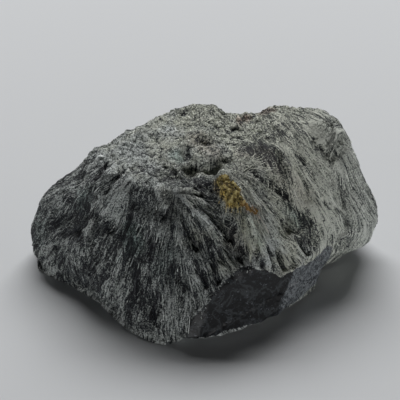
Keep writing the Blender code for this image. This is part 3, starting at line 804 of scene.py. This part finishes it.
def splinters(name, fans, count, length, width):
    """Bars laid along the fibres of some fans, from skin to skin, clear of the clean breaks and the table."""
    chance = np.isin(cell_fan, [fan_names.index(f) for f in fans]) * ~cell_clean * cell_calm
    chance = chance * np.clip(1.0 - 3.0 * cell_crumbled, 0.0, 1.0) * (cell_middle[:, 2] > 1.0)
    spots, ups, shade, stain = scatter(count, chance)
    way = fibre_run(spots)[2]
    way = unit(way - ups * (way * ups).sum(axis=1)[:, None])
    long = length * np.exp(dice.normal(0.0, 0.4, count))
    wide = width * np.exp(dice.normal(0.0, 0.3, count))
    ends = spots + unit(way + np.cross(ups, way) * dice.normal(0.0, 0.05, (count, 1))) * long[:, None]
    ends = np.array([skin_tree.find_nearest(Vector(e))[0] for e in ends])
    middle_gap = np.array([skin_tree.find_nearest(Vector(m))[3] for m in (spots + ends) / 2])
    starts = spots - ups * (0.5 * wide)[:, None]
    ends = ends + ups * (wide * dice.normal(0.0, 0.12, count))[:, None]
    way = ends - starts
    roll = dice.normal(0.0, 0.5, count)[:, None]
    face = ups * np.cos(roll) + np.cross(ups, unit(way)) * np.sin(roll)
    reach = np.linalg.norm(way, axis=1)
    keep = (beyond_clean_breaks(ends) < -CLEAR_OF_BREAK) & (ends[:, 2] > CLEAR_OF_TABLE)
    keep &= (reach > 0.5 * long) & (middle_gap < MOST_GAP)
    shade = np.clip(shade + dice.normal(0.04, 0.3, count), 0.0, 1.0)
    sizes = np.stack([reach, wide, wide * 0.75], axis=1)
    middles = (starts + ends) / 2
    return lay_copies(name, BAR, middles[keep], way[keep], face[keep], sizes[keep], shade[keep], stain[keep])


fibres_left = splinters("fibres_left", ("lobe", "centre_left"), 3000, 3.2, 0.3)
fibres_centre = splinters("fibres_centre", ("centre",), 1600, 3.6, 0.3)
fibres_right = splinters("fibres_right", ("right", "plume", "end"), 2600, 3.6, 0.28)
fibres_back = splinters("fibres_back", ("back", "back_left", "back_right"), 4500, 3.4, 0.32)

# %% [markdown]
# ## Crumbs
#
# On the top the fibres are broken short, so it is covered with small flakes that lie any way round.


# %% Scatter the crumbs
def crumbs(name, count, size):
    """Flakes on the crumbled top, and a few elsewhere."""
    chance = (cell_crumbled + 0.03 * (cell_middle[:, 2] > 3.0)) * ~cell_clean
    spots, ups, shade, stain = scatter(count, chance)
    way = dice.normal(0.0, 1.0, (count, 3))
    way -= 0.85 * ups * (way * ups).sum(axis=1)[:, None]
    face = ups + dice.normal(0.0, 0.3, (count, 3))
    long = size * np.exp(dice.normal(0.0, 0.4, count))
    wide, thick = dice.uniform(0.3, 0.8, count), dice.uniform(0.3, 0.5, count)
    sizes = long[:, None] * np.stack([np.ones(count), wide, thick], axis=1)
    shade = np.clip(shade + dice.normal(0.02, 0.24, count), 0.0, 1.0)
    return lay_copies(name, FLAKE, spots - ups * 0.08, way, face, sizes, shade, stain)


crumbs_top = crumbs("crumbs_top", 9000, 0.75)

# %% [markdown]
# ## The ochre crust
#
# A patch of limonite, yellow iron rust, has grown on the shoulder of the right fan, with an orange tail. It
# is a crust of small round grains.

# %% Scatter the ochre grains
# (start, end, reach in mm, strength)
CRUST_TAIL = [((12.5, -14.6, 38.9), (15.6, -13.9, 35.9), 2.2, 1)]
CRUST = [((5.6, -8.6, 43.5), (8.2, -12.1, 42.8), 2.7, 1), ((7.9, -13.5, 41.5), (9.7, -14.2, 40.2), 2.2, 0.9),
         ((11.5, -14.9, 39.6), (15.2, -13.9, 36.3), 1.3, 0.75)]
THIN_CRUST = 0.25  # where the crust is weaker than this it has no grains


def crust(name, count, size):
    """Round grains heaped where the crust is strong, orange along its tail."""
    near = zone_sum(cell_middle, CRUST) * np.clip(1.0 + 1.5 * noise_at(cell_middle, 1.8, 81.0), 0.0, None)
    spots, ups, _, _ = scatter(count, np.where(near > THIN_CRUST, near, 0.0))
    way = dice.normal(0.0, 1.0, (count, 3))
    face = ups + dice.normal(0.0, 0.5, (count, 3))
    sizes = (size * np.exp(dice.normal(0.0, 0.35, count)))[:, None] * dice.uniform(0.6, 1.1, (count, 3))
    orange = np.clip(zone_sum(spots, CRUST_TAIL) + dice.normal(0.0, 0.15, count), 0.0, 1.0)
    heaps = noise_at(spots, 1.1, 83.0)
    # painted light and shade: a grain that sits higher on its heap is lighter
    shade = np.clip(0.5 + heaps + dice.normal(0.0, 0.18, count), 0.0, 1.0)
    spots += ups * (0.35 * heaps)[:, None]
    return lay_copies(name, GRAIN, spots, way, face, sizes, shade, np.stack([orange] * 3, axis=1))


ochre_crust = crust("ochre_crust", 2800, 0.42)

# %% [markdown]
# ## Materials
#
# Colours are written as the eye reads them, in sRGB hex, and one function turns them to the linear values
# that a shader needs. Another small function adds a node with its settings and links. Each pattern that comes
# back has a function: tones added up, thin lines, lumps, and streaks and blades that follow the fibres.


# %% Colour and node helpers
def linear(hex_colour):
    """A linear RGBA colour from an sRGB hex value."""
    parts = [int(hex_colour[i:i + 2], 16) / 255 for i in (1, 3, 5)]
    return [p / 12.92 if p <= 0.04045 else ((p + 0.055) / 1.055) ** 2.4 for p in parts] + [1.0]


def plug(tree, made, inputs):
    """Sets a node's inputs, by name or number: a value is written in, and a socket is linked."""
    for key, value in inputs.items():
        if isinstance(value, bpy.types.NodeSocket):
            tree.links.new(value, made.inputs[key])
        else:
            made.inputs[key].default_value = value


def node(tree, kind, *inputs, **settings):
    """Adds a node and gives its outputs. Inputs come in socket order, or as one dict by name or number."""
    made = tree.nodes.new("ShaderNode" + kind)
    for key, value in settings.items():
        setattr(made, key, value)
    plug(tree, made, inputs[0] if inputs and isinstance(inputs[0], dict) else dict(enumerate(inputs)))
    return made.outputs


def new_material(name):
    material = bpy.data.materials.new(name)
    material.use_nodes = True
    return material, material.node_tree, material.node_tree.nodes["Principled BSDF"]


# %% Pattern helpers
def total(tree, first, *others):
    """Tones added up."""
    for other in others:
        first = node(tree, "Math", first, other)[0]
    return first


def swing(tree, value, weight, middle=0.5, clamp=False):
    """How far a value is from its middle, times a weight."""
    return node(tree, "Math", value, weight, -middle * weight, operation="MULTIPLY_ADD", use_clamp=clamp)[0]


def thin_lines(tree, value, centre, reach, strength):
    """Strength where a value is at centre, and 0 where it is reach or more away: noise becomes thin lines."""
    away = node(tree, "Math", total(tree, value, -centre), operation="ABSOLUTE")[0]
    return swing(tree, swing(tree, away, -1.0 / reach, reach, True), strength, 0.0)


def lumps(tree, place, per_mm, detail, roughness, distortion=0.0):
    """Noise on Object coordinates, with this many lumps to the mm."""
    return node(tree, "TexNoise", {"Vector": place, "Scale": per_mm / MM, "Detail": detail,
                                   "Roughness": roughness, "Distortion": distortion})[0]


def along_fibres(tree, fibre, across, along):
    """Fibre coordinates in which one unit is this many mm across and along the fibres."""
    return node(tree, "VectorMath", fibre, (1 / across, 1 / along, 1.0), operation="MULTIPLY")[0]


def streaks(tree, fibre, across, along, detail=1.0, roughness=0.5):
    """Noise whose streaks are this many mm across and along the fibres."""
    return node(tree, "TexNoise", {"Vector": along_fibres(tree, fibre, across, along), "Scale": 1.0,
                                   "Detail": detail, "Roughness": roughness})[0]


def blades(tree, fibre, across, along):
    """A random tone for each long pointed cell along the fibres, like blades seen edge on."""
    cells = node(tree, "TexVoronoi", {"Vector": along_fibres(tree, fibre, across, along), "Scale": 1.0})
    return node(tree, "SeparateColor", cells["Color"])[0]


def coloured(tree, tone, stops):
    """Turns a tone into a colour. The stops are pairs of tone and sRGB hex, darkest first."""
    colour = node(tree, "ValToRGB", tone)[0]
    ramp = colour.node.color_ramp.elements
    ramp[0].position, ramp[1].position = stops[0][0], stops[-1][0]
    for at, _ in stops[1:-1]:
        ramp.new(at)
    for element, (_, shade) in zip(ramp, stops):
        element.color = linear(shade)
    return colour


# %% [markdown]
# Clinochlore is almost black where it is whole and silvery where light runs along its split faces, and the
# ramp paints that silvery sheen in. Lightness 0 is the bottom of a crack, with its shade painted in, and 1
# is a fresh fibre face. Three stains lie over it: yellow limonite, a redder rust, and a teal bloom.

# %% The clinochlore colours, shared by skin, splinters and crumbs
CLINOCHLORE = [(0.0, "#14161b"), (0.25, "#30343a"), (0.5, "#676c68"), (0.75, "#9ea499"), (1.0, "#dcdfd6")]
CLINOCHLORE_IOR = 1.58  # typical of the mineral
# teal, rust and ochre: which of the three tints, its colour, and the share that it covers at most
STAINS = ((2, "#4a6b66", 0.6), (1, "#6a4a3c", 0.7), (0, "#a88f42", 0.9))
COOL, WARM = (0.965, 0.985, 1.06, 1.0), (1.02, 1.01, 0.965, 1.0)  # the left is bluer, the right warmer
TO_WARM, TO_RIGHT_END = (24.0, 20.0, 12.0), (40.0, 0.0, 0.0)  # what each metre adds, on X, Y and Z


def stained(tree, base):
    """The base colour, cool at the left and warm at the right, with the stains laid over it."""
    place = node(tree, "TexCoord")["Object"]
    warmth = node(tree, "VectorMath", place, TO_WARM, operation="DOT_PRODUCT")[1]
    drift = swing(tree, lumps(tree, place, 0.14, 2.0, 0.6), 2.6)
    warmth = node(tree, "Math", total(tree, warmth, drift), 0.14, use_clamp=True)[0]
    right_end = node(tree, "VectorMath", place, TO_RIGHT_END, operation="DOT_PRODUCT")[1]
    right_end = node(tree, "Math", right_end, -1.1, use_clamp=True)[0]
    warmth = total(tree, warmth, swing(tree, right_end, -0.6, 0.0))  # the far right is cooler again
    cast = node(tree, "Mix", {0: warmth, 6: COOL, 7: WARM}, data_type="RGBA")[2]
    colour = node(tree, "Mix", {0: 1.0, 6: base, 7: cast}, data_type="RGBA", blend_type="MULTIPLY")[2]
    # a stain keeps the light and dark of the stone under it
    value = node(tree, "Math", node(tree, "RGBToBW", base)[0], 3.4, 0.12, operation="MULTIPLY_ADD")[0]
    tints = node(tree, "SeparateXYZ", node(tree, "Attribute", attribute_name="tints")["Vector"])
    for number, tint, share in STAINS:
        shaded = {0: 1.0, 6: linear(tint), 7: value}
        shaded = node(tree, "Mix", shaded, data_type="RGBA", blend_type="MULTIPLY")[2]
        amount = node(tree, "Math", tints[number], share, operation="MULTIPLY", use_clamp=True)[0]
        colour = node(tree, "Mix", {0: amount, 6: colour, 7: shaded}, data_type="RGBA")[2]
    return colour


# %% [markdown]
# The skin has three kinds of face: fibrous, crumbled and cleanly broken. A painted picture would blur close
# up, so each kind is built from noise, and noise laid on the fibre coordinates follows every fan by itself.
# One material mixes the three by the numbers that the skin carries, so that they can fade into each other.

# %% Skin: what its material reads
rock, tree, surface = new_material("broken_clinochlore")
place = node(tree, "TexCoord")["Object"]
fibre = node(tree, "Attribute", attribute_name="fibre")["Vector"]
lightness_in, crumbled_in, clean_in = [
    node(tree, "Attribute", attribute_name=name)["Fac"] for name in ("lightness", "crumbled", "clean_break")]
# towards the right end the fibres lie flatter: less of the fine streaks, more of the broad ones
rightward = node(tree, "VectorMath", place, (30.0, 10.0, 0.0), operation="DOT_PRODUCT")[1]
flatter = node(tree, "Math", rightward, -0.4, use_clamp=True)[0]
less, more = [node(tree, "Mix", {0: flatter, 2: 1.0, 3: share})[0] for share in (0.62, 1.25)]

# %% Skin: the fibrous faces
# fibres are 0.1 to 0.4 mm across on the real stone; streaks of 0.3 mm are the finest that show
grain = lumps(tree, place, 2.2, 2.0, 0.7)
fine = total(tree, swing(tree, streaks(tree, fibre, 0.3, 3.6, 2.0, 0.75), 2.4), swing(tree, grain, 3.6))
broad = total(tree, swing(tree, blades(tree, fibre, 0.62, 8.0), 0.6),
              swing(tree, streaks(tree, fibre, 0.9, 11.0), 0.4))
fibrous = total(
    tree,
    node(tree, "Math", fine, less, operation="MULTIPLY")[0],
    node(tree, "Math", broad, more, operation="MULTIPLY")[0],
    swing(tree, blades(tree, fibre, 0.3, 3.4), 0.85),
    thin_lines(tree, streaks(tree, fibre, 0.8, 8.0), 0.42, 0.04, -0.15),  # painted shade of hairline cracks
    thin_lines(tree, streaks(tree, fibre, 0.55, 5.0), 0.5, 0.05, 0.18))  # bright needles: painted glints

# %% Skin: the crumbled top
# pits 1 mm apart darkened with painted shade, grains of 0.45 mm, chips of 0.3 by 0.9 mm, flakes of 0.45
# by 1.1 mm and clumps of 2.3 mm
painted_pit_shade = swing(tree, lumps(tree, place, 1.0, 1.0, 0.5), 9.0, 0.6, True)
crumbly = total(
    tree,
    swing(tree, grain, 3.4),
    swing(tree, streaks(tree, fibre, 0.3, 0.9, 2.0, 0.7), 1.6),
    swing(tree, blades(tree, fibre, 0.45, 1.1), 0.75),
    swing(tree, lumps(tree, place, 0.43, 1.0, 0.5), 1.2),
    swing(tree, painted_pit_shade, -0.45, 0.0))
texture = node(tree, "Mix", {0: crumbled_in, 2: fibrous, 3: crumbly})[0]
broken_colour = stained(tree, coloured(tree, total(tree, lightness_in, texture), CLINOCHLORE))

# %% Skin: the clean break, near-black with a blue cast and faint pale wisps
# clouds of about 3 mm, mottling of 0.7 mm, and wisps about 7 mm apart
cloudy = lumps(tree, place, 0.33, 6.0, 0.85)
mottle = lumps(tree, place, 1.4, 2.0, 0.7)
wisps = thin_lines(tree, lumps(tree, place, 0.15, 4.0, 0.6, 0.6), 0.5, 0.05, 0.22)
# the lightness brings in the painted light of the right clean break
clouds = total(tree, cloudy, swing(tree, lightness_in, 0.42, 0.3), swing(tree, mottle, 1.5))
dark = coloured(tree, clouds, [(0.42, "#050608"), (0.58, "#111317"), (0.7, "#31353b"), (0.88, "#7c8184")])
clean_colour = node(tree, "Mix", {0: wisps, 6: dark, 7: linear("#666c70")}, data_type="RGBA")[2]

# %% Skin: put its material together
BUMP_HEIGHT = 0.35 * MM  # about the width of a fibre
height = node(tree, "Mix", {0: clean_in, 2: texture, 3: swing(tree, cloudy, 0.3, 0.0)})[0]
plug(tree, surface, {
    "Base Color": node(tree, "Mix", {0: clean_in, 6: broken_colour, 7: clean_colour}, data_type="RGBA")[2],
    "Roughness": node(tree, "Mix", {0: clean_in, 2: 0.62, 3: 0.5})[0],
    "Specular IOR Level": node(tree, "Mix", {0: clean_in, 2: 0.5, 3: 0.3})[0],
    "IOR": CLINOCHLORE_IOR,
    "Normal": node(tree, "Bump", {"Strength": 1.0, "Distance": BUMP_HEIGHT, "Height": height})[0]})
stone.data.materials.append(rock)
print("nodes in the skin's material:", len(tree.nodes))

# %% [markdown]
# A splinter or a crumb shows a fresh split face, which is a little silkier than the broken skin. Each copy
# has one lightness, and fine flecks keep it from looking like plastic.

# %% Splinters and crumbs: split clinochlore
split, tree, surface = new_material("split_clinochlore")
flecks = lumps(tree, node(tree, "TexCoord")["Object"], 2.2, 2.0, 0.7)
tone = total(tree, node(tree, "Attribute", attribute_name="lightness")["Fac"], swing(tree, flecks, 1.8))
split_colour = stained(tree, coloured(tree, tone, CLINOCHLORE))
plug(tree, surface, {"Base Color": split_colour, "Roughness": 0.5, "IOR": CLINOCHLORE_IOR})
for piece in (fibres_left, fibres_centre, fibres_right, fibres_back, crumbs_top):
    piece.data.materials.append(split)

# %% [markdown]
# Limonite is earthy: it has hardly any shine. Its heaps are straw-coloured on top and brown in the hollows,
# painted light and shade by how high each grain sits, and a tint of 1 turns it orange.

# %% Ochre crust: earthy limonite
limonite, tree, surface = new_material("earthy_limonite")
shade = node(tree, "Attribute", attribute_name="lightness")["Fac"]
yellow = coloured(tree, shade, [(0.0, "#2c2716"), (0.4, "#74673a"), (0.7, "#a3935a"), (1.0, "#c9bb84")])
orange = node(tree, "SeparateXYZ", node(tree, "Attribute", attribute_name="tints")["Vector"])[0]
earth = node(tree, "Mix", {0: orange, 6: yellow, 7: linear("#86683a")}, data_type="RGBA")[2]
plug(tree, surface, {"Base Color": earth, "Roughness": 0.85})
ochre_crust.data.materials.append(limonite)
print("materials:", [material.name for material in (rock, split, limonite)])

# %% [markdown]
# ## Floor, light and camera
#
# The stone lies on matt grey paper. A wide softbox above and behind it lights the top, a low lamp at the
# right brings out the steep end, and a low one in front opens the shadows between the fans.

# %% The stage
floor_mesh = bmesh.new()
bmesh.ops.create_grid(floor_mesh, x_segments=1, y_segments=1, size=3.0)
floor_data = bpy.data.meshes.new("floor")
floor_mesh.to_mesh(floor_data)
floor_mesh.free()
floor = put_in_scene("floor", floor_data)
floor.location.z = -0.1 * MM  # a hair under the rest face, so that the two don't coincide
paper, tree, surface = new_material("matt_grey_paper")
plug(tree, surface, {"Base Color": linear("#d6d8da"), "Roughness": 0.9, "Specular IOR Level": 0.2})
floor.data.materials.append(paper)
print("nodes in the paper's material:", len(tree.nodes))


# %% The lamps and the room
def point_at(thing, at, aim):
    """Puts a lamp or the camera at a place in metres and turns it towards another."""
    thing.location = at
    thing.rotation_euler = (aim - at).to_track_quat("-Z", "Y").to_euler()


def area_light(name, at, aim, size, power):
    """A soft light: size is its width and height in metres."""
    lamp = bpy.data.lights.new(name, "AREA")
    lamp.shape, lamp.size, lamp.size_y, lamp.energy = "RECTANGLE", size[0], size[1], power
    point_at(put_in_scene(name, lamp), Vector(at), Vector(aim))


area_light("softbox", (0.0, 1.28, 1.5), (0, 0, 0.02), (1.95, 0.7), 42.5)
area_light("side_fill", (1.9, 0.0, 0.12), (0.02, 0, 0.02), (1.0, 0.24), 8.4)
area_light("front_fill", (0.0, -2.0, 0.05), (0, 0, 0.02), (0.8, 0.1), 11.0)
world = bpy.data.worlds.new("grey_room")
world.use_nodes = True
plug(world.node_tree, world.node_tree.nodes["Background"], {"Color": linear("#e4e7ea"), "Strength": 0.006})
bpy.context.scene.world = world
print("lamps:", [lamp.name for lamp in bpy.data.lights])

# %% The camera
FOCAL_LENGTH, SENSOR_WIDTH = 142.4, 36.0  # mm
CAMERA_LIFT = math.radians(35.0)
CAMERA_DISTANCE = 0.5  # m from the target
TARGET = Vector((-0.0014, 0.0056, 0.0267))  # m, near the middle of the stone
camera_data = bpy.data.cameras.new("camera")
camera_data.lens, camera_data.sensor_width, camera_data.clip_start = FOCAL_LENGTH, SENSOR_WIDTH, 0.01
camera = put_in_scene("camera", camera_data)
away = Vector((0.0, -math.cos(CAMERA_LIFT), math.sin(CAMERA_LIFT)))
point_at(camera, TARGET + CAMERA_DISTANCE * away, TARGET)
bpy.context.scene.camera = camera
bpy.context.scene.view_settings.view_transform = "Standard"
print("camera at:", [round(c, 3) for c in camera.location])

# %% Tie the looks to the solid, and finish
pieces = (stone, fibres_left, fibres_centre, fibres_right, fibres_back, crumbs_top, ochre_crust)
for piece in pieces:
    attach(piece, "root")
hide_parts("seraphinite")
